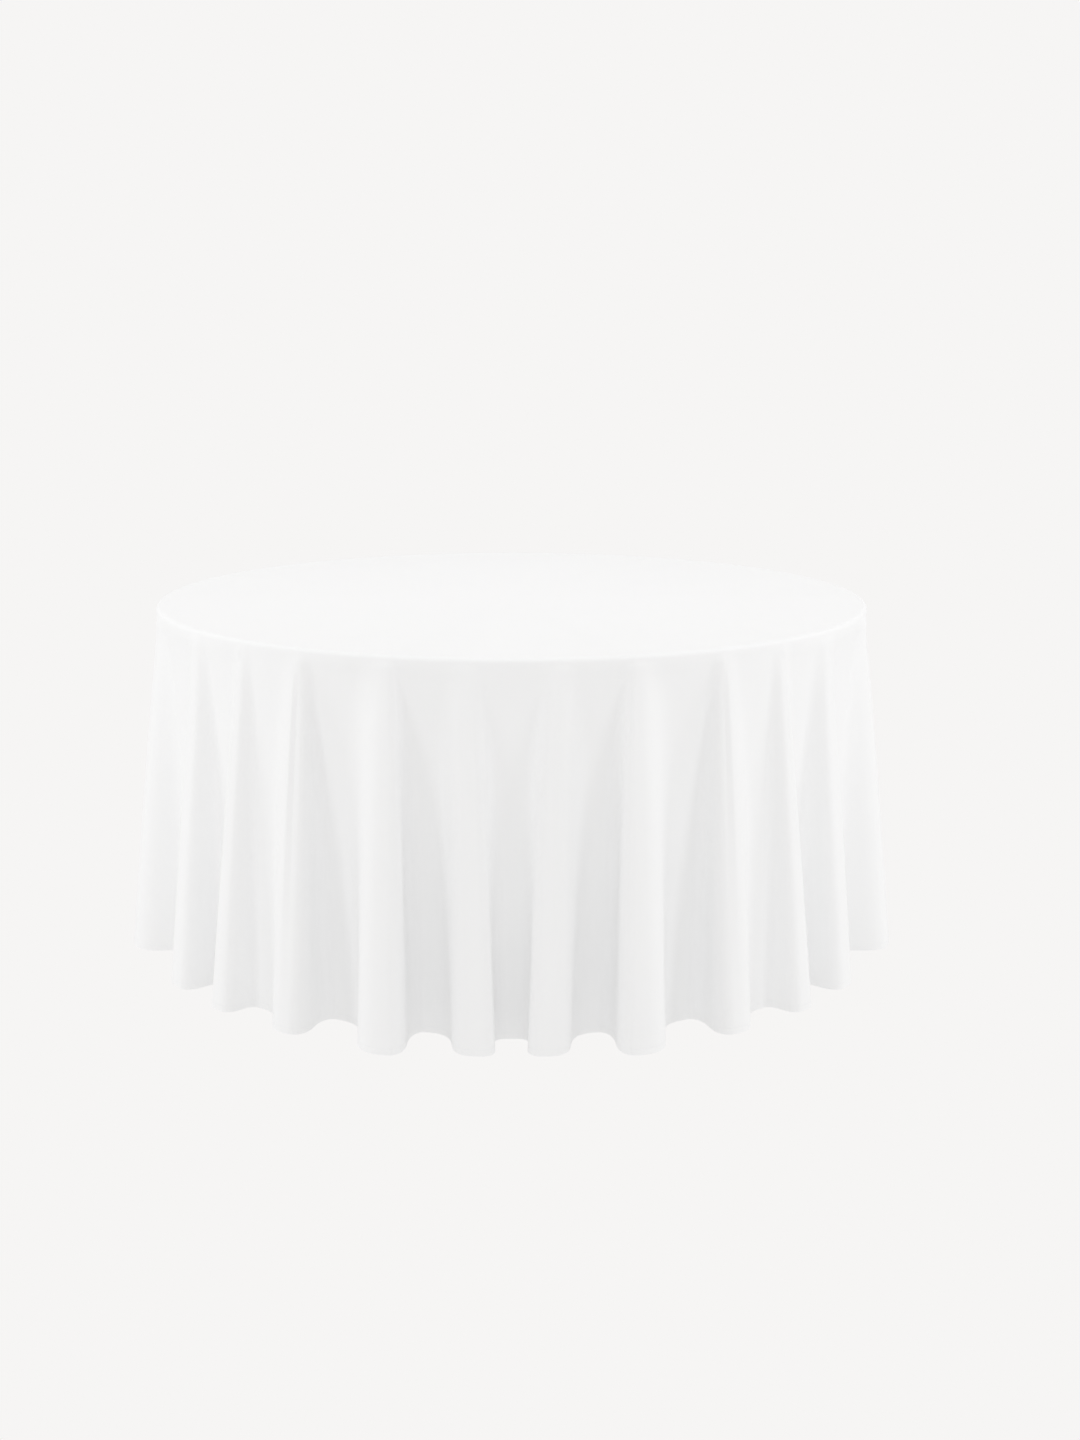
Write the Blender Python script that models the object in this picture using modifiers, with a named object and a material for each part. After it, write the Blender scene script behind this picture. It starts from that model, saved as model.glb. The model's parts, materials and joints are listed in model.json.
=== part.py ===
"""A round folding banquet table under a floor-length round tablecloth.

Metres, +Z up. The floor is z = 0, the origin is below the table's centre, and the front faces -Y.
"""

from math import atan2, cos, hypot, pi, radians, sin

import bmesh
import bpy
from mathutils import Matrix, Vector

# Gaps between separate solids
TOUCH = 0.0003
TURNING_GAP = 0.0005

# Table top
TABLE_DIAMETER = 1.524
TABLE_HEIGHT = 0.743
TOP_THICKNESS = 0.019
BAND_THICKNESS = 0.010
BAND_ROUNDING = 0.0085
BARB_DEPTH = 0.009
BARB_THICKNESS = 0.0015
TOP_SIDES = 72

# Tablecloth
CLOTH_THICKNESS = 0.0008
HEM_ABOVE_FLOOR = 0.0175
CLOTH_EDGE_GAP = 0.0006
EDGE_TURN_STEPS = 2
HALF_FOLD_STEPS = 3
SKIRT_RINGS = (0.05, 0.17, 0.38, 0.66)
FOLD_GROWTH = 0.80
# Each fold of one side: its azimuth from the front in degrees, and how far its crest stands out at the
# hem as a share of the table's radius. The other side mirrors it, and the valleys lie halfway between.
FOLD_CRESTS = (
    (4.9, 1.108),
    (16.2, 1.142),
    (30.8, 1.105),
    (43.8, 1.090),
    (55.6, 1.080),
    (77.6, 1.100),
    (91.0, 1.105),
    (104.5, 1.120),
    (117.5, 1.095),
    (131.0, 1.120),
    (144.0, 1.095),
    (158.5, 1.120),
    (173.5, 1.100),
)
LABEL_CREST = 11
LABEL_LENGTH = 0.055
LABEL_WIDTH = 0.016
LABEL_FROM_HEM = 0.010
LABEL_THICKNESS = 0.0004
LABEL_GAP = 0.0007

# Folding leg frames
HINGE_X = 0.50
BATTEN_WIDTH = 0.090
BATTEN_THICKNESS = 0.018
BATTEN_OVERHANG = 0.050
TUBE_RADIUS = 0.0127
TUBE_WALL = 0.0012
TUBE_SIDES = 16
COPE_DEPTH = 0.008
LEG_Y = {"right": 0.20, "left": 0.32}
SIDES = {"right": 1, "left": -1}
ENDS = {"front": -1, "back": 1}
PIVOT_OVERHANG = 0.028
SADDLE_INSET = 0.065
SADDLE_WIDTH = 0.030
SADDLE_THICKNESS = 0.002
SADDLE_REACH = 0.035
SADDLE_SCREW_X = 0.026
FOOT_WALL = 0.003
FOOT_BASE = 0.005
FOOT_HEIGHT = 0.032

# Screws
SCREW_RADIUS = 0.0020
SCREW_LENGTH = 0.0145
SCREW_HEAD_RADIUS = 0.0040
SCREW_HEAD_HEIGHT = 0.0022

# Two-link brace between the top and the crossbar of each frame
ANCHOR_IN = 0.22
LUG_DOWN = 0.24
LUG_RISE = 0.027
LINK_WIDTH = 0.020
LINK_THICKNESS = 0.003
BRACKET_LENGTH = 0.044
BRACKET_FLANGE = 0.024
BRACKET_SCREW_X = 0.015
PIN_RADIUS = 0.0030
PIN_HEAD_RADIUS = 0.0055
PIN_HEAD_HEIGHT = 0.0020

# Places worked out from the sizes above
TABLE_RADIUS = TABLE_DIAMETER / 2
PANEL_RADIUS = TABLE_RADIUS - BAND_THICKNESS
TOP_UNDERSIDE = TABLE_HEIGHT - TOP_THICKNESS
TOP_MIDDLE = TABLE_HEIGHT - TOP_THICKNESS / 2
BATTEN_TOP = TOP_UNDERSIDE - TOUCH
BATTEN_UNDERSIDE = BATTEN_TOP - BATTEN_THICKNESS
PIVOT_Z = BATTEN_UNDERSIDE - TUBE_RADIUS - TOUCH - TURNING_GAP
LUG_Z = PIVOT_Z - LUG_DOWN
CROSSBAR_Z = LUG_Z - LUG_RISE
LINK_PITCH = LINK_THICKNESS + TOUCH
BRACE_SPAN = hypot(ANCHOR_IN, LUG_DOWN)
BRACE_UPPER = (BRACE_SPAN + ANCHOR_IN - LUG_DOWN) / 2
BRACE_LOWER = BRACE_SPAN - BRACE_UPPER
BRACE_SLOPE = atan2(LUG_DOWN, ANCHOR_IN)
CLOTH_RADIUS = TABLE_RADIUS + CLOTH_EDGE_GAP
CLOTH_UNDERSIDE = TABLE_HEIGHT + TOUCH
CLOTH_TURN = BAND_ROUNDING + CLOTH_EDGE_GAP
SKIRT_DROP = CLOTH_UNDERSIDE - CLOTH_TURN - HEM_ABOVE_FLOOR
LABEL_RING = 1 - (LABEL_LENGTH + 2 * LABEL_FROM_HEM) / SKIRT_DROP

X_AXIS = Vector((1, 0, 0))
Y_AXIS = Vector((0, 1, 0))
Z_AXIS = Vector((0, 0, 1))

MATERIALS = {
    "cloth": ((0.86, 0.86, 0.85), 0.85, 0.0),
    "label": ((0.90, 0.90, 0.88), 0.60, 0.0),
    "plywood": ((0.56, 0.40, 0.24), 0.60, 0.0),
    "edge_vinyl": ((0.08, 0.07, 0.06), 0.45, 0.0),
    "batten_wood": ((0.62, 0.46, 0.28), 0.65, 0.0),
    "tube_paint": ((0.10, 0.10, 0.105), 0.40, 0.3),
    "zinc": ((0.62, 0.63, 0.65), 0.35, 0.9),
    "foot_rubber": ((0.03, 0.03, 0.03), 0.85, 0.0),
}


def clear_scene():
    for old in list(bpy.data.objects):
        bpy.data.objects.remove(old)


def collection(name):
    made = bpy.data.collections.new(name)
    bpy.context.scene.collection.children.link(made)
    return made


def material(name):
    made = bpy.data.materials.get(name)
    if made is None:
        colour, roughness, metallic = MATERIALS[name]
        made = bpy.data.materials.new(name)
        made.use_nodes = True
        shader = made.node_tree.nodes["Principled BSDF"]
        shader.inputs["Base Color"].default_value = (*colour, 1)
        shader.inputs["Roughness"].default_value = roughness
        shader.inputs["Metallic"].default_value = metallic
    return made


def place(data, name, look, matrix=Matrix.Identity(4)):
    """Link an object for a piece, or for a cutter where it has no look."""
    made = bpy.data.objects.new(name, data)
    made.matrix_world = matrix
    if look is None:
        made.hide_render = True
        made.display_type = "WIRE"
        CUTTERS.objects.link(made)
    else:
        data.materials.append(material(look))
        PARTS.objects.link(made)
    return made


def oriented(origin, z_axis, x_axis=None):
    """The matrix of a local frame at a point, from its Z axis and, where it matters, its X axis."""
    z_axis = Vector(z_axis).normalized()
    if x_axis is None:
        x_axis = X_AXIS if abs(z_axis.x) < 0.9 else Y_AXIS
    y_axis = z_axis.cross(Vector(x_axis)).normalized()
    x_axis = y_axis.cross(z_axis)
    turn = Matrix((x_axis, y_axis, z_axis)).transposed().to_4x4()
    return Matrix.Translation(origin) @ turn


def box(name, look, size, centre):
    mesh = bpy.data.meshes.new(name)
    shape = bmesh.new()
    bmesh.ops.create_cube(shape, size=1, matrix=Matrix.Diagonal((*size, 1)))
    shape.to_mesh(mesh)
    shape.free()
    return place(mesh, name, look, Matrix.Translation(centre))


def cylinder(name, look, radius, start, end, sides=TUBE_SIDES):
    start, end = Vector(start), Vector(end)
    mesh = bpy.data.meshes.new(name)
    shape = bmesh.new()
    bmesh.ops.create_cone(
        shape,
        cap_ends=True,
        segments=sides,
        radius1=radius,
        radius2=radius,
        depth=(end - start).length,
    )
    shape.to_mesh(mesh)
    shape.free()
    return place(mesh, name, look, oriented((start + end) / 2, end - start))


def turned(name, look, profile, matrix, steps=TUBE_SIDES, closed=False):
    """A profile of (radius, height) points, top to bottom down its outer side, turned about local Z."""
    mesh = bpy.data.meshes.new(name)
    count = len(profile)
    edges = [(i, (i + 1) % count) for i in range(count if closed else count - 1)]
    mesh.from_pydata([(r, 0, z) for r, z in profile], edges, [])
    made = place(mesh, name, look, matrix)
    screw = made.modifiers.new("Turn", "SCREW")
    screw.steps = screw.render_steps = steps
    screw.use_merge_vertices = True
    screw.merge_threshold = 0.00005
    return made


def tube(name, look, start, end):
    """A straight steel tube, open at both ends."""
    start, end = Vector(start), Vector(end)
    length = (end - start).length
    bore = TUBE_RADIUS - TUBE_WALL
    profile = [(bore, length), (TUBE_RADIUS, length), (TUBE_RADIUS, 0), (bore, 0)]
    return turned(name, look, profile, oriented(start, end - start), closed=True)


def cut(piece, cutter):
    step = piece.modifiers.new("Cut", "BOOLEAN")
    step.operation = "DIFFERENCE"
    step.object = cutter


def drill(piece, radius, start, end, sides=12):
    """Cut a round hole whose flats, not its corners, stand at the radius."""
    flats = radius / cos(pi / sides)
    cut(piece, cylinder(f"{piece.name}_hole", None, flats, start, end, sides))


def bent_sheet(name, look, path, thickness, span, matrix):
    """A strip of sheet metal: a path in local XZ swept along local Y, then given its thickness."""
    mesh = bpy.data.meshes.new(name)
    shape = bmesh.new()
    rows = [[shape.verts.new((x, y, z)) for x, z in path] for y in (-span / 2, span / 2)]
    for i in range(len(path) - 1):
        shape.faces.new((rows[0][i], rows[0][i + 1], rows[1][i + 1], rows[1][i]))
    shape.to_mesh(mesh)
    shape.free()
    made = place(mesh, name, look, matrix)
    wall = made.modifiers.new("Wall", "SOLIDIFY")
    wall.thickness = thickness
    wall.offset = 0
    wall.use_even_offset = True
    return made


def link_bar(name, look, length, matrix, holes):
    """A flat bar with round ends, centred on local Z, with a hole at each listed place along local X."""
    curve = bpy.data.curves.new(name, "CURVE")
    curve.dimensions = "2D"
    curve.fill_mode = "BOTH"
    curve.extrude = LINK_THICKNESS / 2
    steps = 8
    half = LINK_WIDTH / 2
    turns = [i * pi / steps for i in range(steps + 1)]
    outline = [(length + half * sin(a), -half * cos(a)) for a in turns]
    outline += [(-half * sin(a), half * cos(a)) for a in turns]
    loops = [outline]
    for x in holes:
        radius = PIN_RADIUS + TOUCH
        loops.append([(x + radius * cos(i * pi / 6), radius * sin(i * pi / 6)) for i in range(12)])
    for loop in loops:
        spline = curve.splines.new("POLY")
        spline.points.add(len(loop) - 1)
        for point, (x, y) in zip(spline.points, loop):
            point.co = (x, y, 0, 1)
        spline.use_cyclic_u = True
    return place(curve, name, look, matrix)


def as_mesh(curve_object):
    """Swap a curve object for the closed mesh it makes, so that it can be cut."""
    evaluated = curve_object.evaluated_get(bpy.context.evaluated_depsgraph_get())
    mesh = bpy.data.meshes.new_from_object(evaluated)
    shape = bmesh.new()
    shape.from_mesh(mesh)
    bmesh.ops.remove_doubles(shape, verts=shape.verts, dist=0.00001)
    shape.to_mesh(mesh)
    shape.free()
    name, matrix = curve_object.name, curve_object.matrix_world.copy()
    bpy.data.objects.remove(curve_object)
    made = bpy.data.objects.new(name, mesh)
    made.matrix_world = matrix
    PARTS.objects.link(made)
    return made


def screw(name, seat):
    """A pan-head screw driven up from its seat, the face its head bears on."""
    profile = [
        (0, SCREW_LENGTH),
        (SCREW_RADIUS * 0.5, SCREW_LENGTH),
        (SCREW_RADIUS, SCREW_LENGTH * 0.8),
        (SCREW_RADIUS, -TOUCH),
        (SCREW_HEAD_RADIUS, -TOUCH),
        (SCREW_HEAD_RADIUS * 0.8, -TOUCH - SCREW_HEAD_HEIGHT),
        (0, -TOUCH - SCREW_HEAD_HEIGHT),
    ]
    turned(name, "zinc", profile, oriented(seat, Z_AXIS), steps=12)


def drill_for_screw(piece, seat):
    seat = Vector(seat)
    below, above = seat - 0.01 * Z_AXIS, seat + (SCREW_LENGTH + TOUCH) * Z_AXIS
    drill(piece, SCREW_RADIUS + TOUCH, below, above)


def rivet(name, head_face, tail_face, x, z, way):
    """A pin along Y with a head on the head face and a tail flush with the tail face."""
    length = abs(tail_face - head_face) + TOUCH
    profile = [
        (0, length),
        (PIN_RADIUS, length),
        (PIN_RADIUS, 0),
        (PIN_HEAD_RADIUS, 0),
        (PIN_HEAD_RADIUS * 0.7, -PIN_HEAD_HEIGHT),
        (0, -PIN_HEAD_HEIGHT),
    ]
    start = Vector((x, head_face - way * TOUCH, z))
    turned(name, "zinc", profile, oriented(start, way * Y_AXIS), steps=12)


# ---- Tablecloth


def fold_extremes():
    """Every valley and crest round the whole hem, as (azimuth in radians, reach of the crest or 0)."""
    side = [(radians(azimuth), reach * TABLE_RADIUS) for azimuth, reach in FOLD_CRESTS]
    crests = [(2 * pi - azimuth, reach) for azimuth, reach in reversed(side)]
    crests = side + crests
    extremes = []
    for (azimuth, reach), (following, _) in zip(crests, crests[1:] + [(crests[0][0] + 2 * pi, 0)]):
        extremes += [(azimuth, reach), ((azimuth + following) / 2, CLOTH_RADIUS)]
    return extremes


def hem_outline(steps):
    """Azimuths round the cloth, each with the radius that its hem reaches there."""
    extremes = fold_extremes()
    first_azimuth, first_reach = extremes[0]
    points = []
    for (start, low), (end, high) in zip(
        extremes, extremes[1:] + [(first_azimuth + 2 * pi, first_reach)]
    ):
        for i in range(steps):
            share = i / steps
            blend = (1 - cos(pi * share)) / 2
            points.append((start + (end - start) * share, low + (high - low) * blend))
    return points


def skirt_radius(hem_reach, drop_share):
    """The folds open downward from the table's edge, where the cloth is still round."""
    return CLOTH_RADIUS + (hem_reach - CLOTH_RADIUS) * drop_share**FOLD_GROWTH


def ring_point(azimuth, radius, z):
    return (radius * sin(azimuth), -radius * cos(azimuth), z)


def tablecloth():
    outline = hem_outline(HALF_FOLD_STEPS)
    levels = []
    for i in range(EDGE_TURN_STEPS + 1):
        turn = pi / 2 * i / EDGE_TURN_STEPS
        radius = CLOTH_RADIUS - CLOTH_TURN * (1 - sin(turn))
        height = CLOTH_UNDERSIDE - CLOTH_TURN * (1 - cos(turn))
        levels.append([ring_point(azimuth, radius, height) for azimuth, _ in outline])
    for share in (*SKIRT_RINGS, LABEL_RING, 1.0):
        height = CLOTH_UNDERSIDE - CLOTH_TURN - share * SKIRT_DROP
        levels.append([ring_point(a, skirt_radius(reach, share), height) for a, reach in outline])
    shape = bmesh.new()
    rings = [[shape.verts.new(point) for point in level] for level in levels]
    shape.faces.new(rings[0])
    count = len(outline)
    for upper, lower in zip(rings, rings[1:]):
        for i in range(count):
            j = (i + 1) % count
            shape.faces.new((upper[i], lower[i], lower[j], upper[j]))
    mesh = bpy.data.meshes.new("tablecloth")
    shape.to_mesh(mesh)
    shape.free()
    made = place(mesh, "tablecloth", "cloth")
    wall = made.modifiers.new("Weave thickness", "SOLIDIFY")
    wall.thickness = CLOTH_THICKNESS
    wall.offset = 1


def care_label():
    """A blank label of soft tape, sewn flat along the inside of one flank of the hem at the back."""
    outline = hem_outline(HALF_FOLD_STEPS)
    start = 2 * HALF_FOLD_STEPS * LABEL_CREST
    shape = bmesh.new()
    rows = []
    for height in (LABEL_FROM_HEM + LABEL_LENGTH, LABEL_FROM_HEM):
        down = 1 - height / (SKIRT_DROP * (1 - LABEL_RING))
        ends = []
        for azimuth, reach in outline[start : start + 2]:
            upper, lower = skirt_radius(reach, LABEL_RING), skirt_radius(reach, 1.0)
            radius = upper + (lower - upper) * down
            ends.append(Vector(ring_point(azimuth, radius, HEM_ABOVE_FLOOR + height)))
        along = (ends[1] - ends[0]).normalized()
        inward = Z_AXIS.cross(along)
        middle = (ends[0] + ends[1]) / 2 + inward * (LABEL_THICKNESS + LABEL_GAP)
        rows.append([shape.verts.new(middle + side * LABEL_WIDTH / 2 * along) for side in (-1, 1)])
    shape.faces.new((rows[0][0], rows[1][0], rows[1][1], rows[0][1]))
    mesh = bpy.data.meshes.new("care_label")
    shape.to_mesh(mesh)
    shape.free()
    made = place(mesh, "care_label", "label")
    wall = made.modifiers.new("Tape thickness", "SOLIDIFY")
    wall.thickness = LABEL_THICKNESS
    wall.offset = 1


# ---- Table top


def table_top():
    """A plywood panel with a groove round its edge, and the vinyl band whose barb sits in the groove."""
    groove = BARB_THICKNESS / 2 + TOUCH
    floor = PANEL_RADIUS - BARB_DEPTH - TOUCH
    low, high = TOP_UNDERSIDE, TABLE_HEIGHT
    panel = turned(
        "tabletop",
        "plywood",
        [
            (0, high),
            (PANEL_RADIUS, high),
            (PANEL_RADIUS, TOP_MIDDLE + groove),
            (floor, TOP_MIDDLE + groove),
            (floor, TOP_MIDDLE - groove),
            (PANEL_RADIUS, TOP_MIDDLE - groove),
            (PANEL_RADIUS, low),
            (0, low),
        ],
        Matrix.Identity(4),
        steps=TOP_SIDES,
    )
    inner = PANEL_RADIUS + TOUCH
    barb_tip = PANEL_RADIUS - BARB_DEPTH
    arc = [radians(angle) for angle in (0, 45, 90)]
    bend = TABLE_RADIUS - BAND_ROUNDING
    top_turn = [(bend + BAND_ROUNDING * sin(a), high - BAND_ROUNDING * (1 - cos(a))) for a in arc]
    low_turn = [(r, high + low - z) for r, z in reversed(top_turn)]
    profile = [(inner, high), *top_turn, *low_turn, (inner, low)]
    profile += [
        (inner, TOP_MIDDLE - BARB_THICKNESS / 2),
        (barb_tip, TOP_MIDDLE - BARB_THICKNESS / 2),
        (barb_tip, TOP_MIDDLE + BARB_THICKNESS / 2),
        (inner, TOP_MIDDLE + BARB_THICKNESS / 2),
    ]
    turned("edge_band", "edge_vinyl", profile, Matrix.Identity(4), steps=TOP_SIDES, closed=True)
    return panel


# ---- One leg frame with its hinge and brace


def saddle_path():
    """A pipe strap: a flange, a half round under the tube, and a flange."""
    centre = TUBE_RADIUS + TURNING_GAP + SADDLE_THICKNESS / 2
    flange = BATTEN_UNDERSIDE - TOUCH - SADDLE_THICKNESS / 2 - PIVOT_Z
    steps = 8
    round_part = [
        (-centre * cos(i * pi / steps), -centre * sin(i * pi / steps)) for i in range(steps + 1)
    ]
    ends = [(SADDLE_REACH, flange), (centre, flange)]
    return [(-x, z) for x, z in ends] + round_part + ends[::-1]


def hinge(side):
    """The batten under the top, and the two saddles that hold the frame's pivot tube to it."""
    x = SIDES[side] * HINGE_X
    length = 2 * (LEG_Y[side] + BATTEN_OVERHANG)
    middle = BATTEN_TOP - BATTEN_THICKNESS / 2
    batten = box(
        f"batten_{side}", "batten_wood", (BATTEN_WIDTH, length, BATTEN_THICKNESS), (x, 0, middle)
    )
    for end, way in ENDS.items():
        y = way * (LEG_Y[side] - SADDLE_INSET)
        saddle = bent_sheet(
            f"hinge_saddle_{side}_{end}",
            "zinc",
            saddle_path(),
            SADDLE_THICKNESS,
            SADDLE_WIDTH,
            Matrix.Translation((x, y, PIVOT_Z)),
        )
        for label, offset in (("inner", -SIDES[side]), ("outer", SIDES[side])):
            seat = (x + offset * SADDLE_SCREW_X, y, BATTEN_UNDERSIDE - TOUCH - SADDLE_THICKNESS)
            drill_for_screw(saddle, seat)
            drill_for_screw(batten, seat)
            screw(f"saddle_screw_{side}_{end}_{label}", seat)


def leg_frame(side):
    """Two legs on a pivot tube, joined by a crossbar, with a rubber foot on each leg."""
    x = SIDES[side] * HINGE_X
    leg_y = LEG_Y[side]
    half_pivot = leg_y + PIVOT_OVERHANG
    tube(f"pivot_tube_{side}", "tube_paint", (x, -half_pivot, PIVOT_Z), (x, half_pivot, PIVOT_Z))
    half_bar = leg_y - COPE_DEPTH
    crossbar = tube(
        f"crossbar_{side}", "tube_paint", (x, -half_bar, CROSSBAR_Z), (x, half_bar, CROSSBAR_Z)
    )
    clear = TUBE_RADIUS + TOUCH
    reach = 2 * TUBE_RADIUS
    for end, way in ENDS.items():
        y = way * leg_y
        leg = tube(
            f"leg_{side}_{end}",
            "tube_paint",
            (x, y, FOOT_BASE + TOUCH),
            (x, y, PIVOT_Z - COPE_DEPTH),
        )
        drill(leg, clear, (x, y - reach, PIVOT_Z), (x, y + reach, PIVOT_Z), TUBE_SIDES)
        ends = ((x, y, CROSSBAR_Z - reach), (x, y, CROSSBAR_Z + reach))
        drill(crossbar, clear, *ends, TUBE_SIDES)
        foot(f"foot_{side}_{end}", x, y)


def foot(name, x, y):
    inner = TUBE_RADIUS + TOUCH
    outer = inner + FOOT_WALL
    profile = [
        (inner, FOOT_HEIGHT),
        (outer, FOOT_HEIGHT),
        (outer, 0),
        (0, 0),
    ]
    profile = [(0, FOOT_BASE), (inner, FOOT_BASE)] + profile
    turned(name, "foot_rubber", profile, Matrix.Translation((x, y, 0)))


def brace(side, panel):
    """Two flat links from a bracket under the top to a lug on the crossbar, in line when the leg stands."""
    way = SIDES[side]
    hinge_x = way * HINGE_X
    anchor_x = way * (HINGE_X - ANCHOR_IN)
    to_lug = Vector((way * cos(BRACE_SLOPE), 0, -sin(BRACE_SLOPE)))
    thumb = Y_AXIS
    half = LINK_THICKNESS / 2

    # Bracket: an upright ear beside the upper link, and a flange under the top
    ear_y = -LINK_PITCH
    flange_z = TOP_UNDERSIDE - TOUCH - half
    ear_low = PIVOT_Z - LINK_WIDTH / 2
    path = [(0, ear_low), (0, flange_z), (BRACKET_FLANGE, flange_z)]
    bracket = bent_sheet(
        f"brace_bracket_{side}",
        "zinc",
        path,
        LINK_THICKNESS,
        BRACKET_LENGTH,
        oriented((anchor_x, ear_y, 0), Z_AXIS, -Y_AXIS),
    )
    drill(bracket, PIN_RADIUS + TOUCH, (anchor_x, -0.02, PIVOT_Z), (anchor_x, 0.01, PIVOT_Z))
    for label, offset in (("inner", -way), ("outer", way)):
        seat = (
            anchor_x + offset * BRACKET_SCREW_X,
            ear_y - BRACKET_FLANGE * 0.6,
            flange_z - half,
        )
        drill_for_screw(bracket, seat)
        drill_for_screw(panel, seat)
        screw(f"bracket_screw_{side}_{label}", seat)
    rivet(f"bracket_pin_{side}", ear_y - half, half, anchor_x, PIVOT_Z, 1)

    # Upper link, with the knee rivet through it
    anchor = Vector((anchor_x, 0, PIVOT_Z))
    link_bar(
        f"brace_upper_{side}",
        "zinc",
        BRACE_UPPER,
        oriented(anchor, thumb, to_lug),
        (0, BRACE_UPPER),
    )
    knee = anchor + BRACE_UPPER * to_lug
    rivet(f"knee_rivet_{side}", -half, half, knee.x, knee.z, 1)

    # Lower link, and the lug on the crossbar that it turns on
    lug_pin = Vector((hinge_x, LINK_PITCH, LUG_Z))
    link_bar(
        f"brace_lower_{side}", "zinc", BRACE_LOWER, oriented(lug_pin, thumb, -to_lug), (0,)
    )
    lug_foot = Vector((hinge_x, 2 * LINK_PITCH, CROSSBAR_Z))
    upright = oriented(lug_foot, thumb, Z_AXIS)
    lug = as_mesh(
        link_bar(f"crossbar_lug_{side}", "tube_paint", LUG_RISE, upright, (LUG_RISE,))
    )
    ends = ((hinge_x, -0.05, CROSSBAR_Z), (hinge_x, 0.05, CROSSBAR_Z))
    drill(lug, TUBE_RADIUS + TOUCH, *ends, TUBE_SIDES)
    rivet(f"lug_pin_{side}", 2 * LINK_PITCH + half, LINK_PITCH - half, hinge_x, LUG_Z, -1)


clear_scene()
PARTS = collection("banquet_table_with_cloth")
CUTTERS = collection("cutters")
tablecloth()
care_label()
top_panel = table_top()
for frame_side in SIDES:
    hinge(frame_side)
    leg_frame(frame_side)
    brace(frame_side, top_panel)
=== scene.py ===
"""The looks of a round banquet table under a floor-length white tablecloth.

Metres, +Z up. The floor is z = 0, the origin is below the table's centre, and the front faces -Y.
"""

import json
from math import pi, radians

import bmesh
import bpy
import numpy as np
from mathutils import Matrix, Vector, noise


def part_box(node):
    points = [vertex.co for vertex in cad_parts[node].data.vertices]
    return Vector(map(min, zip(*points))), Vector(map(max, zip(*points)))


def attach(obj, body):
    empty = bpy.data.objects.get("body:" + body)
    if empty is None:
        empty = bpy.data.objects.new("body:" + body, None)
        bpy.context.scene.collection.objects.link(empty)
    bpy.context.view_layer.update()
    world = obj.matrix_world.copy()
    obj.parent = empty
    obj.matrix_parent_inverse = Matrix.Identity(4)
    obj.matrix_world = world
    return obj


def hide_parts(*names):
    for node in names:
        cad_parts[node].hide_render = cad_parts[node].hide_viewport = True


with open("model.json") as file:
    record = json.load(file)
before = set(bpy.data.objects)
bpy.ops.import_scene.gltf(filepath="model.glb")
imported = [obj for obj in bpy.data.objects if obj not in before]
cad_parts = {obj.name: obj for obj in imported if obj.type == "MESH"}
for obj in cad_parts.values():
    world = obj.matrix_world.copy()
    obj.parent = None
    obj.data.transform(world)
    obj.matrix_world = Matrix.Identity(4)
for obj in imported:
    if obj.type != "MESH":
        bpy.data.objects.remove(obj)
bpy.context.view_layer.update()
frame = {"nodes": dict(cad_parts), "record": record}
nodes = frame["nodes"]

# Table, from the frame
TABLE_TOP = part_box("tabletop")[1].z
TABLE_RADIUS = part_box("edge_band")[1].x
BAND_ROUNDING = 0.0085
HEM_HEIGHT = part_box("tablecloth")[0].z

# Cloth: its middle surface lies a little above the table
CLOTH_THICKNESS = 0.0007
CLOTH_LIFT = 0.0008
CLOTH_TOP = TABLE_TOP + CLOTH_LIFT
HANG_RADIUS = TABLE_RADIUS + CLOTH_LIFT
RIM_TURN = BAND_ROUNDING + CLOTH_LIFT
RIM_ARC = RIM_TURN * pi / 2
RIM_START = HANG_RADIUS - RIM_TURN
SKIRT_LENGTH = CLOTH_TOP - RIM_TURN - HEM_HEIGHT

# Folds of one side, from the front valley round to the back one. Each line is a valley or a crest:
# azimuth at the hem in degrees, radius there as a share of the table's, and azimuth at the rim.
FOLDS = (
    (0.0, 0.986, 0.0),
    (4.7, 1.104, 6.2),
    (12.0, 0.966, 12.6),
    (16.2, 1.138, 17.2),
    (26.5, 0.962, 26.0),
    (30.8, 1.105, 31.0),
    (38.8, 1.008, 36.8),
    (44.0, 1.092, 42.0),
    (49.8, 0.965, 46.8),
    (55.8, 1.082, 53.8),
    (65.0, 0.955, 61.0),
    (77.6, 1.100, 72.5),
    (84.5, 0.955, 80.5),
    (91.0, 1.105, 90.0),
    (98.5, 0.945, 96.5),
    (104.5, 1.120, 103.5),
    (112.5, 0.960, 113.5),
    (117.5, 1.095, 119.0),
    (125.5, 0.945, 125.0),
    (131.0, 1.120, 132.0),
    (139.0, 0.955, 140.5),
    (144.0, 1.095, 144.5),
    (152.5, 0.940, 152.0),
    (158.5, 1.120, 157.0),
    (167.5, 0.950, 166.5),
    (173.5, 1.100, 174.0),
    (180.0, 0.965, 180.0),
)

# The cloth's grid: stations across each flank, rings on the skirt and the rim, and the top's rings
# as shares of its flat part. Part of the skirt's spacing is even, the rest widens downward.
STEPS_PER_FOLD = 17
SKIRT_RINGS = 36
EVEN_SPACING = 0.30
SPACING_POWER = 1.7
RIM_RINGS = 7
TOP_RINGS = (0.25, 0.50, 0.75, 0.99)

# How the folds open below the rim, and how the valleys sink in from a little way down
FLARE_POWER = 0.80
RIM_OPENING = 0.004
NEARLY_SHUT = 0.0001
SINK_POWER = 0.55
SINK_START = 0.02

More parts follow.
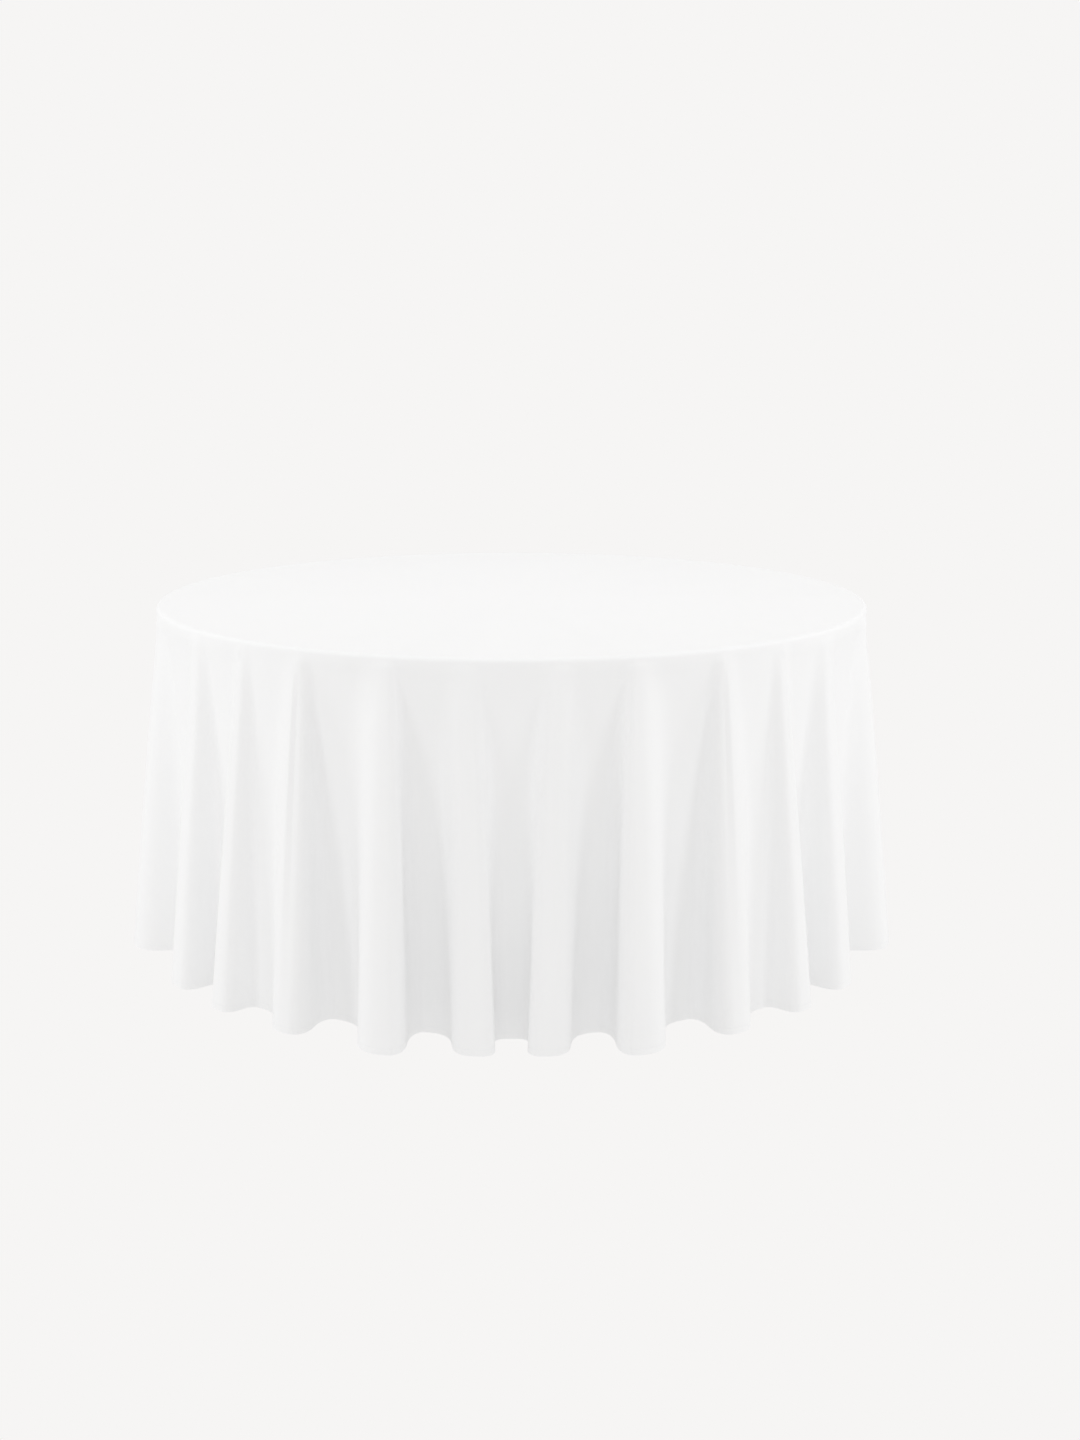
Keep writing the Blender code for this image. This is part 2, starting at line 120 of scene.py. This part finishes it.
# Level share at a flank's valley and at its crest, and how far up it is steepest: each at the rim
# and low down, with the depth over which it changes. Those that face the front centre stand steeper.
INNER_FLANK = ((0.55, 0.22, 0.18), (0.02, 0.20, 0.10), (0.66, 0.46, 0.35))
OUTER_FLANK = ((0.45, 0.00, 0.13), (0.02, 0.04, 0.10), (0.66, 0.54, 0.30))
GENTLEST_BEND = 0.001
STEEPEST_BEND = 1.85
BENDS_TRIED = 120
FLANK_SAMPLES = 160

# How much of the hem is levelled, and the least a ring falls for its length of cloth
HEM_LEVELLING = 0.8
LEAST_FALL = 0.05

# Puckers: height below the rim, the depths over which it fades and starts, the same for the fainter
# ones lower down, and their size round and down the skirt
RIM_PUCKER = 0.0007
RIM_PUCKER_FADE = 0.16
RIM_PUCKER_START = 0.02
SKIRT_PUCKER = 0.0003
SKIRT_PUCKER_START = 0.10
PUCKER_WIDTH = 0.035
PUCKER_LENGTH = 0.11
PUCKER_SEED = 3.7

# Hem: the turned-in layer, and the row of stitches above its edge
HEM_WIDTH = 0.014
HEM_GAP = 0.0001
RINGS_NEAR_HEM = 12
STITCH_HEIGHT = 0.012
STITCH_PITCH = 0.0032
STITCH_SIZE = (0.0022, 0.00045, 0.0003)

# Care label: how far it stands off the cloth at its sewn edge, and how much more at its free one
LABEL_WIDTH = 0.030
LABEL_THICKNESS = 0.00035
LABEL_COLUMNS = 12
LABEL_ROWS = 14
LABEL_REACH = 12
LABEL_OFF = 0.0020
LABEL_FREE = 0.0035
LABEL_CURL = 1.5

# Weave and colour of the cloth
LINEN_WHITE = (0.953, 0.957, 0.960)
LINEN_TONES = ((0.951, 0.955, 0.958), (0.955, 0.959, 0.962))
THREAD_SCALE = 420.0

# Studio: the backdrop's colour, the share of its brightness that lights the cloth, and for each
# light its name, place, aim, size and power. A paired light stands on both sides.
BACKDROP = (0.922, 0.913, 0.905)
BACKDROP_LIGHT = 0.87
LIGHT_COLOUR = (0.98, 0.99, 1.0)
FLOOR_SIZE = 12
FLOOR_DROP = 0.001
PAIRED_LIGHTS = (
    ("side", (3.3, -0.1, 1.0), (0, 0, 0.5), (1.0, 2.0), 9.5),
    ("front", (3.2, -2.1, 1.1), (0, -0.5, 0.4), (0.8, 1.8), 8.5),
)
SINGLE_LIGHTS = (
    ("overhead", (0, 0, 3.6), (0, 0, 0.7), (3.0, 3.0), 18.5),
    ("fill", (0, -5.0, 1.2), (0, -0.6, 0.3), (2.4, 1.8), 8.5),
)


# ---- Materials


class Shader:
    """A material under construction: nodes by type, joined in reading order."""

    def __init__(self, name, colour, roughness, metallic=0.0):
        self.material = bpy.data.materials.new(name)
        self.material.use_nodes = True
        self.tree = self.material.node_tree
        self.surface = self.tree.nodes["Principled BSDF"]
        self.surface.inputs["Base Color"].default_value = (*colour, 1)
        self.surface.inputs["Roughness"].default_value = roughness
        self.surface.inputs["Metallic"].default_value = metallic

    def node(self, kind, settings=None, **inputs):
        """A new node, whose inputs are given as numbers or as other nodes' outputs."""
        made = self.tree.nodes.new(kind)
        for key, value in (settings or {}).items():
            setattr(made, key, value)
        for key, value in inputs.items():
            socket = made.inputs[key.replace("_", " ")]
            if hasattr(value, "links"):
                self.tree.links.new(value, socket)
            else:
                socket.default_value = value
        return made

    def join(self, output, name):
        """Leads an output to the surface."""
        self.tree.links.new(output, self.surface.inputs[name])

    def place(self, scale=(1, 1, 1), source="Object"):
        """Coordinates on the piece, stretched by a scale."""
        coordinates = self.node("ShaderNodeTexCoord")
        mapping = self.node("ShaderNodeMapping", Vector=coordinates.outputs[source])
        mapping.inputs["Scale"].default_value = scale
        return mapping.outputs["Vector"]

    def noise(self, vector, scale, detail=3.0, roughness=0.5):
        made = self.node("ShaderNodeTexNoise", Vector=vector, Scale=scale, Detail=detail)
        made.inputs["Roughness"].default_value = roughness
        return made.outputs["Fac"]

    def ramp(self, value, stops):
        """A colour between two, each given with its position."""
        made = self.node("ShaderNodeValToRGB", Fac=value)
        for element, (position, colour) in zip(made.color_ramp.elements, stops):
            element.position = position
            element.color = (*colour, 1)
        return made.outputs["Color"]

    def maths(self, operation, first, second):
        made = self.tree.nodes.new("ShaderNodeMath")
        made.operation = operation
        for socket, value in zip(made.inputs, (first, second)):
            if hasattr(value, "links"):
                self.tree.links.new(value, socket)
            else:
                socket.default_value = value
        return made.outputs["Value"]

    def spread(self, value, low, high):
        """A value from 0 to 1, spread between two others."""
        made = self.node("ShaderNodeMapRange", Value=value)
        made.inputs["To Min"].default_value = low
        made.inputs["To Max"].default_value = high
        return made.outputs["Result"]

    def bump(self, height, distance, strength, under=None):
        """Relief of a depth in metres, laid over another one if there is one."""
        made = self.node("ShaderNodeBump", Height=height, Distance=distance, Strength=strength)
        if under is not None:
            self.tree.links.new(under, made.inputs["Normal"])
        return made.outputs["Normal"]


def cloth_material():
    """Plain weave polyester linen: crossed threads, a soft sheen and faint slubs."""
    look = Shader("table_linen", LINEN_WHITE, 0.82)
    threads = look.place(source="UV")
    warp, weft = (
        look.node(
            "ShaderNodeTexWave",
            {"bands_direction": direction},
            Vector=threads,
            Scale=THREAD_SCALE,
            Distortion=0.6,
        )
        for direction in "XY"
    )
    weave = look.maths("MULTIPLY", warp.outputs["Fac"], weft.outputs["Fac"])
    slubs = look.noise(look.place((60, 900, 1), source="UV"), 1.0, 2.0)
    creases = look.noise(look.place((9, 9, 1), source="UV"), 1.0, 4.0, 0.55)
    tone = look.ramp(creases, zip((0.3, 0.7), LINEN_TONES))
    look.join(tone, "Base Color")
    look.join(look.spread(slubs, 0.78, 0.88), "Roughness")
    normal = look.bump(creases, 0.0003, 0.5)
    normal = look.bump(slubs, 0.00012, 0.5, normal)
    normal = look.bump(weave, 0.00010, 0.6, normal)
    look.join(normal, "Normal")
    look.surface.inputs["Sheen Weight"].default_value = 0.25
    look.surface.inputs["Sheen Roughness"].default_value = 0.45
    look.surface.inputs["Specular IOR Level"].default_value = 0.35
    return look.material


def thread_material():
    """Matt polyester thread with a fine twist."""
    look = Shader("sewing_thread", (0.91, 0.92, 0.93), 0.60)
    twist = look.noise(look.place((900, 900, 900)), 1.0, 2.0)
    look.join(look.bump(twist, 0.00008, 0.6), "Normal")
    look.join(look.spread(twist, 0.5, 0.7), "Roughness")
    return look.material


def label_material():
    """Woven satin tape, printed with nothing."""
    look = Shader("satin_tape", (0.90, 0.90, 0.88), 0.45)
    ribs = look.node(
        "ShaderNodeTexWave", {"bands_direction": "Z"}, Vector=look.place(), Scale=300.0
    )
    look.join(look.bump(ribs.outputs["Fac"], 0.00008, 0.6), "Normal")
    look.join(look.spread(ribs.outputs["Fac"], 0.38, 0.52), "Roughness")
    look.surface.inputs["Sheen Weight"].default_value = 0.3
    return look.material


def wood_material(name, pale, dark, roughness):
    """Long grain along X, with pores and a thin worn lacquer."""
    look = Shader(name, pale, roughness)
    grain = look.noise(look.place((3, 60, 60)), 1.0, 6.0, 0.6)
    pores = look.noise(look.place((40, 900, 900)), 1.0, 2.0)
    look.join(look.ramp(grain, [(0.3, dark), (0.7, pale)]), "Base Color")
    look.join(look.spread(pores, roughness - 0.08, roughness + 0.12), "Roughness")
    normal = look.bump(grain, 0.0004, 0.4)
    look.join(look.bump(pores, 0.0002, 0.5, normal), "Normal")
    return look.material


def vinyl_material():
    """Dark brown vinyl, lightly scuffed along the edge."""
    look = Shader("edge_vinyl", (0.075, 0.065, 0.058), 0.42)
    skin = look.noise(look.place((500, 500, 500)), 1.0, 3.0)
    scuffs = look.noise(look.place((20, 20, 90)), 1.0, 4.0)
    look.join(look.spread(scuffs, 0.32, 0.56), "Roughness")
    look.join(look.bump(skin, 0.00015, 0.5), "Normal")
    return look.material


def paint_material():
    """Powder coat: fine orange peel, slightly dulled where hands and floors rub it."""
    look = Shader("powder_coat", (0.085, 0.088, 0.092), 0.40, 0.2)
    peel = look.noise(look.place((420, 420, 420)), 1.0, 2.0)
    wear = look.noise(look.place((14, 14, 5)), 1.0, 5.0)
    tone = look.ramp(wear, [(0.35, (0.075, 0.078, 0.082)), (0.75, (0.115, 0.118, 0.122))])
    look.join(tone, "Base Color")
    look.join(look.spread(wear, 0.30, 0.52), "Roughness")
    look.join(look.bump(peel, 0.00012, 0.6), "Normal")
    return look.material


def zinc_material():
    """Bright zinc plate with a faint passivation colour and brushed marks."""
    look = Shader("zinc_plate", (0.62, 0.63, 0.65), 0.34, 0.9)
    clouds = look.noise(look.place((80, 80, 80)), 1.0, 3.0)
    brushed = look.noise(look.place((60, 60, 1800)), 1.0, 2.0)
    tone = look.ramp(clouds, [(0.3, (0.58, 0.59, 0.62)), (0.7, (0.68, 0.67, 0.64))])
    look.join(tone, "Base Color")
    look.join(look.spread(brushed, 0.26, 0.46), "Roughness")
    look.join(look.bump(brushed, 0.00005, 0.4), "Normal")
    return look.material


def rubber_material():
    """Black rubber, greyed by dust."""
    look = Shader("foot_rubber", (0.028, 0.028, 0.028), 0.80)
    grit = look.noise(look.place((700, 700, 700)), 1.0, 3.0)
    dust = look.noise(look.place((40, 40, 120)), 1.0, 4.0)
    tone = look.ramp(dust, [(0.4, (0.026, 0.026, 0.026)), (0.8, (0.060, 0.058, 0.055))])
    look.join(tone, "Base Color")
    look.join(look.spread(dust, 0.70, 0.92), "Roughness")
    look.join(look.bump(grit, 0.0002, 0.6), "Normal")
    return look.material


# ---- The shape of the draped cloth


def turning(bend, steepest):
    """Angles along a flank that is level in the valley and on the crest.

    It is steepest at a share of its length.
    """
    share = (np.arange(FLANK_SAMPLES) + 0.5) / FLANK_SAMPLES
    return np.asarray(bend)[..., None] * np.sin(pi * share ** (np.log(0.5) / np.log(steepest)))


def flank(width, height, valley_flat, crest_flat, steepest):
    """Points of one flank from valley to crest, evenly spaced along the cloth.

    They are shares of its width and of its height, with the flank's length in metres.
    """
    bent_width = width * (1 - valley_flat - crest_flat)
    bends = np.linspace(GENTLEST_BEND, STEEPEST_BEND, BENDS_TRIED)
    angles = turning(bends, steepest)
    slopes = np.sin(angles).sum(axis=1) / np.cos(angles).sum(axis=1)
    angle = turning(np.interp(height / bent_width, slopes, bends), steepest)
    along = np.concatenate([[0], np.cumsum(np.cos(angle))])
    across = np.concatenate([[0], np.cumsum(np.sin(angle))])
    along = valley_flat * width + along * bent_width / along[-1]
    across = across * height / across[-1]
    along = np.concatenate([[0], along, [width]])
    across = np.concatenate([[0], across, [height]])
    travel = np.concatenate([[0], np.cumsum(np.hypot(np.diff(along), np.diff(across)))])
    even = np.linspace(0, travel[-1], STEPS_PER_FOLD + 1)
    along, across = np.interp(even, travel, along), np.interp(even, travel, across)
    return along / width, across / height, travel[-1]


def all_folds():
    """Valleys and crests all the way round: azimuths at hem and rim, and radius at the hem.

    The radius is a share of the table's. The left side mirrors the right one.
    """
    right = [(radians(hem), radians(rim), share) for hem, share, rim in FOLDS]
    left = [(2 * pi - hem, 2 * pi - rim, share) for hem, rim, share in reversed(right[:-1])]
    return np.array(right + left).T


def skirt_depths():
    """Depths below the rim, closer together near the rim, where the folds open."""
    share = np.linspace(0, 1, SKIRT_RINGS + 1)[1:]
    return SKIRT_LENGTH * (EVEN_SPACING * share + (1 - EVEN_SPACING) * share**SPACING_POWER)


def fading(depth, values):
    """A value that goes from its start at the rim towards its end, over a depth."""
    start, end, reach = values
    return end + (start - end) * np.exp(-depth / reach)


def fold_ring(azimuths, shares, depth, base, opened, sunk):
    """One ring of the skirt: radius and azimuth of its stations, and the length of each flank.

    From a base radius, the folds are opened and sunk by a share of what they have at the hem.
    """
    radius, azimuth, lengths = [], [], []
    inner_flank = [fading(depth, values) for values in INNER_FLANK]
    outer_flank = [fading(depth, values) for values in OUTER_FLANK]
    for start, end, here, there in zip(azimuths, azimuths[1:], shares, shares[1:]):
        low, high = min(here, there), max(here, there)
        inner = base + (low * TABLE_RADIUS - HANG_RADIUS) * sunk
        height = (high - low) * TABLE_RADIUS * opened
        width = (inner + height / 2) * (end - start)
        kind = inner_flank if (there > here) == (start < pi) else outer_flank
        along, across, length = flank(width, height, *kind)
        if there < here:
            along, across = 1 - along[::-1], across[::-1]
        radius.append(inner + height * across[:-1])
        azimuth.append(start + (end - start) * along[:-1])
        lengths.append(length)
    return np.concatenate(radius), np.concatenate(azimuth), np.array(lengths)


def drape():
    """The rim and skirt as a grid of rings and stations.

    Gives each ring's distance from the flat top's edge and its depth below the rim, the radius and
    azimuth of each station on each ring, and each station's angle on the flat cloth. A station is a
    line from the cloth's centre to its hem. A ring is the cloth at one distance from its centre.
    """
    hem_azimuths, rim_azimuths, shares = all_folds()
    rim = RIM_ARC * np.linspace(0, 1, RIM_RINGS + 1)
    outward = np.concatenate([rim, RIM_ARC + skirt_depths()])
    depths = np.maximum(outward - RIM_ARC, 0)
    turn = np.clip(outward / RIM_TURN, 0, pi / 2)
    bases = RIM_START + RIM_TURN * np.sin(turn)
    opened = (depths / SKIRT_LENGTH) ** FLARE_POWER + RIM_OPENING * (1 - np.cos(turn))
    opened[turn == 0] = NEARLY_SHUT
    sunk = np.clip((depths - SINK_START) / (SKIRT_LENGTH - SINK_START), 0, 1) ** SINK_POWER
    rings = []
    for depth, base, wide, deep in zip(depths, bases, opened, sunk):
        azimuths = rim_azimuths + (hem_azimuths - rim_azimuths) * depth / SKIRT_LENGTH
        rings.append(fold_ring(azimuths, shares, depth, base, wide, deep))
    radius, azimuth = (np.array([ring[part] for ring in rings]) for part in (0, 1))
    lengths = rings[-1][2]
    fold_angles = np.concatenate([[0], np.cumsum(lengths)]) * 2 * pi / lengths.sum()
    share = np.arange(STEPS_PER_FOLD) / STEPS_PER_FOLD
    flat_angle = (fold_angles[:-1, None] + np.diff(fold_angles)[:, None] * share).ravel()
    return outward, depths, radius, azimuth, flat_angle


def settle(outward, radius, azimuth):
    """Heights of the rings, from the cloth's own length along each station."""
    run = np.diff(outward)[:, None]
    across = np.diff(radius, axis=0)
    sideways = np.diff(azimuth, axis=0) * (radius[1:] + radius[:-1]) / 2
    fall = np.sqrt(np.maximum(run**2 - across**2 - sideways**2, (LEAST_FALL * run) ** 2))
    drop = np.concatenate([np.zeros((1, radius.shape[1])), np.cumsum(fall, axis=0)])
    longest = CLOTH_TOP - HEM_HEIGHT
    level = drop * (longest / drop[-1])
    free = drop * (longest / drop[-1].max())
    return CLOTH_TOP - (HEM_LEVELLING * level + (1 - HEM_LEVELLING) * free)


def wrinkles(points, depths):
    """Small puckers below the rim, that fade down the skirt."""
    for ring, depth in enumerate(depths):
        near_rim = RIM_PUCKER * np.exp(-depth / RIM_PUCKER_FADE) * min(depth / RIM_PUCKER_START, 1)
        strength = near_rim + SKIRT_PUCKER * min(depth / SKIRT_PUCKER_START, 1)
        for station in range(points.shape[1] if depth else 0):
            x, y, _ = points[ring, station]
            along = np.arctan2(x, -y) * TABLE_RADIUS
            spot = Vector((along / PUCKER_WIDTH, depth / PUCKER_LENGTH, PUCKER_SEED))
            value = noise.noise(spot)
            points[ring, station, :2] *= 1 + strength * value / np.hypot(x, y)


def cloth_grid():
    """The cloth's middle surface and the flat cloth under it, both by ring and station."""
    outward, depths, radius, azimuth, flat_angle = drape()
    height = settle(outward, radius, azimuth)
    skirt = np.stack([radius * np.sin(azimuth), -radius * np.cos(azimuth), height], axis=2)
    flat_radius = (RIM_START + outward)[:, None]
    flat = np.stack([flat_radius * np.sin(flat_angle), -flat_radius * np.cos(flat_angle)], axis=2)
    wrinkles(skirt, depths)
    top = [skirt[0] * (share, share, 1) for share in TOP_RINGS]
    top_flat = [flat[0] * share for share in TOP_RINGS]
    return np.concatenate([top, skirt]), np.concatenate([top_flat, flat])


def grid_normals(points):
    """Outward normals of the grid's points."""
    around = np.roll(points, -1, axis=1) - np.roll(points, 1, axis=1)
    down = np.gradient(points, axis=0)
    normal = np.cross(down, around)
    return normal / np.linalg.norm(normal, axis=2, keepdims=True)


def finished(name, shape, look, body):
    """Makes a bmesh a smooth piece of one material, on a body and in a slot."""
    mesh = bpy.data.meshes.new(name)
    shape.to_mesh(mesh)
    shape.free()
    for face in mesh.polygons:
        face.use_smooth = True
    made = bpy.data.objects.new(name, mesh)
    bpy.context.scene.collection.objects.link(made)
    mesh.materials.append(look)
    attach(made, body)
    return made


def reading_order(item, count):
    """A number for an edge or a face that follows from its vertices, so each run gives one order."""
    numbers = [vert.index for vert in item.verts]
    return max(numbers) * count + min(numbers)


def swept_rings(points, flat, cap):
    """A bmesh of rings: a circle whose edge is extruded ring by ring and laid on the grid's points.

    Its UV map is the flat cloth, in metres.
    """
    shape = bmesh.new()
    station_of = shape.verts.layers.int.new("station")
    ring_of = shape.verts.layers.int.new("ring")
    around = points.shape[1]
    bmesh.ops.create_circle(shape, cap_ends=cap, segments=around, radius=1)
    shape.verts.ensure_lookup_table()
    for vert in shape.verts:
        vert[station_of] = vert.index
    edge = list(shape.edges)
    verts = list(shape.verts)
    for ring in range(points.shape[0]):
        if ring:
            grown = bmesh.ops.extrude_edge_only(shape, edges=edge)["geom"]
            verts = [item for item in grown if isinstance(item, bmesh.types.BMVert)]
            new = set(verts)
            edge = [item for item in grown if isinstance(item, bmesh.types.BMEdge)]
            edge = [item for item in edge if new.issuperset(item.verts)]
        for vert in verts:
            vert[ring_of] = ring
            vert.co = points[ring, vert[station_of]]
    uv = shape.loops.layers.uv.new("cut")
    for face in shape.faces:
        for loop in face.loops:
            loop[uv].uv = flat[loop.vert[ring_of], loop.vert[station_of]]
    shape.verts.sort(key=lambda vert: vert[ring_of] * around + vert[station_of])
    shape.verts.index_update()
    for items in (shape.edges, shape.faces):
        items.sort(key=lambda item: reading_order(item, len(shape.verts)))
    bmesh.ops.recalc_face_normals(shape, faces=shape.faces)
    return shape


def wall(piece, thickness):
    """Gives a sheet its thickness, with crisp edges."""
    made = piece.modifiers.new("Thickness", "SOLIDIFY")
    made.thickness = thickness
    made.offset = 0
    made.use_even_offset = True
    solid = piece.evaluated_get(bpy.context.evaluated_depsgraph_get())
    thick = bpy.data.meshes.new_from_object(solid)
    piece.modifiers.remove(made)
    thick.name = piece.name
    thick.set_sharp_from_angle(angle=radians(60))
    piece.data = thick


def tablecloth(points, flat, look):
    """The draped cloth, with its top closed."""
    shape = swept_rings(points, flat, cap=True)
    cloth = finished("tablecloth_linen", shape, look, "cloth")
    wall(cloth, CLOTH_THICKNESS)
    return cloth


def ring_at(points, normals, flat, above_hem, inward):
    """The ring of points a little above the hem, moved in from the cloth's middle surface.

    With it go its outward directions and its place on the flat cloth.
    """
    upward = [grid[: -RINGS_NEAR_HEM - 1 : -1] for grid in (points, normals, flat)]
    steps = np.linalg.norm(np.diff(upward[0], axis=0), axis=2)
    from_hem = np.concatenate([np.zeros((1, points.shape[1])), np.cumsum(steps, axis=0)])
    places, directions, cut = (
        np.array(
            [
                [np.interp(above_hem, from_hem[:, station], line) for line in grid[:, station].T]
                for station in range(points.shape[1])
            ]
        )
        for grid in upward
    )
    directions /= np.linalg.norm(directions, axis=1, keepdims=True)
    return places - directions * inward, directions, cut


def hem_fold(points, normals, flat, look):
    """The hem's turned-in layer, inside the skirt."""
    inward = CLOTH_THICKNESS + HEM_GAP
    heights = (HEM_WIDTH, HEM_WIDTH / 2, 0.0)
    rows = [ring_at(points, normals, flat, height, inward) for height in heights]
    places, cut = (np.array([row[part] for row in rows]) for part in (0, 2))
    shape = swept_rings(places, cut, cap=False)
    fold = finished("hem_fold", shape, look, "cloth")
    wall(fold, CLOTH_THICKNESS)
    return fold


def travelled(line):
    """How far each point of a line is from its first, along the line."""
    return np.concatenate([[0], np.cumsum(np.linalg.norm(np.diff(line, axis=0), axis=1))])


def hem_stitching(points, normals, flat, look):
    """A row of lockstitches round the outside of the hem."""
    line, directions, _ = ring_at(points, normals, flat, STITCH_HEIGHT, -CLOTH_THICKNESS / 2)
    line, directions = (np.concatenate([ring, ring[:1]]) for ring in (line, directions))
    travel = travelled(line)
    count = int(travel[-1] / STITCH_PITCH)
    half = STITCH_SIZE[0] / 2
    shape = bmesh.new()
    for number in range(count):
        at = travel[-1] * number / count
        wanted = ((at, line), (at - half, line), (at + half, line), (at, directions))
        centre, before, after, out = (
            Vector([np.interp(where % travel[-1], travel, axis) for axis in values.T])
            for where, values in wanted
        )
        run = (after - before).normalized()
        side = out.cross(run).normalized()
        out = run.cross(side)
        turn = Matrix((run, side, out)).transposed().to_4x4()
        place = Matrix.Translation(centre) @ turn @ Matrix.Diagonal((*STITCH_SIZE, 1))
        bmesh.ops.create_cube(shape, size=1, matrix=place)
    return finished("hem_stitching", shape, look, "cloth")


def care_label(points, normals, flat, look):
    """A blank satin tape inside a fold at the back, sewn on by its upper edge."""
    low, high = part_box("care_label")
    middle = (low + high) / 2
    nearest = np.argmin(np.hypot(points[-1, :, 0] - middle.x, points[-1, :, 1] - middle.y))
    picked = nearest + np.arange(-LABEL_REACH, LABEL_REACH + 1)
    across = np.linspace(-LABEL_WIDTH / 2, LABEL_WIDTH / 2, LABEL_COLUMNS + 1)
    grid = []
    for share in np.linspace(0, 1, LABEL_ROWS + 1):
        height = low.z - HEM_HEIGHT + (high.z - low.z) * share
        line, directions, _ = ring_at(points, normals, flat, height, 0)
        line, directions = line[picked], directions[picked]
        travel = travelled(line)
        travel -= travel[LABEL_REACH]
        line = line - directions * (LABEL_OFF + LABEL_FREE * (1 - share) ** LABEL_CURL)
        grid.append([[np.interp(at, travel, axis) for axis in line.T] for at in across])
    shape = bmesh.new()
    shape.loops.layers.uv.new("cut")
    bmesh.ops.create_grid(
        shape, x_segments=LABEL_COLUMNS, y_segments=LABEL_ROWS, size=0.5, calc_uvs=True
    )
    for vert in shape.verts:
        column = round((vert.co.x + 0.5) * LABEL_COLUMNS)
        row = round((vert.co.y + 0.5) * LABEL_ROWS)
        vert.co = grid[row][column]
    label = finished("care_label_tape", shape, look, "cloth")
    wall(label, LABEL_THICKNESS)
    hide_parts("care_label")
    return label


# ---- Camera, light and backdrop


def camera():
    """In front of the table, a little above it, looking down by 12.2 degrees."""
    data = bpy.data.cameras.new("camera")
    data.lens = 47.5
    data.sensor_width = 36
    data.shift_x = 0.0198
    made = bpy.data.objects.new("camera", data)
    made.location = (0, -4.110, 1.356)
    made.rotation_euler = (radians(77.8), 0, 0)
    bpy.context.scene.collection.objects.link(made)
    bpy.context.scene.camera = made


def dimmed(tree, socket):
    """Lets the backdrop look brighter than the light it gives."""
    path = tree.nodes.new("ShaderNodeLightPath")
    level = tree.nodes.new("ShaderNodeMapRange")
    level.inputs["To Min"].default_value = BACKDROP_LIGHT
    level.inputs["To Max"].default_value = 1.0
    tree.links.new(path.outputs["Is Camera Ray"], level.inputs["Value"])
    tree.links.new(level.outputs["Result"], socket)


def glowing(name, colour):
    """A surface that glows evenly and takes no shadow."""
    made = bpy.data.materials.new(name)
    made.use_nodes = True
    tree = made.node_tree
    tree.nodes.clear()
    light = tree.nodes.new("ShaderNodeEmission")
    light.inputs["Color"].default_value = (*colour, 1)
    dimmed(tree, light.inputs["Strength"])
    output = tree.nodes.new("ShaderNodeOutputMaterial")
    tree.links.new(light.outputs["Emission"], output.inputs["Surface"])
    return made


def soft_light(name, place, aim, size, power):
    """A rectangular light at a place, turned to what it aims at."""
    data = bpy.data.lights.new(name, "AREA")
    data.shape = "RECTANGLE"
    data.size, data.size_y = size
    data.energy = power
    data.color = LIGHT_COLOUR
    made = bpy.data.objects.new(name, data)
    made.location = place
    made.rotation_euler = (Vector(aim) - Vector(place)).to_track_quat("-Z", "Y").to_euler()
    bpy.context.scene.collection.objects.link(made)


def studio():
    """A pale backdrop and floor that glow evenly, tall lights at both sides, and two in the middle."""
    scene = bpy.context.scene
    scene.view_settings.view_transform = "Standard"
    world = bpy.data.worlds.new("studio")
    world.use_nodes = True
    backdrop = world.node_tree.nodes["Background"]
    backdrop.inputs["Color"].default_value = (*BACKDROP, 1)
    dimmed(world.node_tree, backdrop.inputs["Strength"])
    scene.world = world
    mesh = bpy.data.meshes.new("floor")
    shape = bmesh.new()
    bmesh.ops.create_grid(shape, x_segments=1, y_segments=1, size=FLOOR_SIZE)
    bmesh.ops.translate(shape, verts=shape.verts, vec=(0, 0, -FLOOR_DROP))
    shape.to_mesh(mesh)
    shape.free()
    floor = bpy.data.objects.new("floor", mesh)
    mesh.materials.append(glowing("pale_floor", BACKDROP))
    scene.collection.objects.link(floor)
    for side in (-1, 1):
        for name, (x, y, z), *rest in PAIRED_LIGHTS:
            soft_light(f"{name}_{side}", (side * x, y, z), *rest)
    for light in SINGLE_LIGHTS:
        soft_light(*light)


camera()
studio()

linen = cloth_material()
thread = thread_material()
points, flat = cloth_grid()
normals = grid_normals(points)
cloth = tablecloth(points, flat, linen)
hem = hem_fold(points, normals, flat, linen)
stitches = hem_stitching(points, normals, flat, thread)
label = care_label(points, normals, flat, label_material())
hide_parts("tablecloth")

looks = {
    "plywood": wood_material("plywood", (0.56, 0.40, 0.24), (0.36, 0.24, 0.13), 0.55),
    "batten_wood": wood_material("batten_wood", (0.62, 0.46, 0.28), (0.45, 0.31, 0.17), 0.65),
    "edge_vinyl": vinyl_material(),
    "tube_paint": paint_material(),
    "zinc": zinc_material(),
    "foot_rubber": rubber_material(),
}
for part in frame["record"]["subparts"]:
    node = nodes[part["node"]]
    if part["material_slot"] in looks:
        node.data.materials.clear()
        node.data.materials.append(looks[part["material_slot"]])
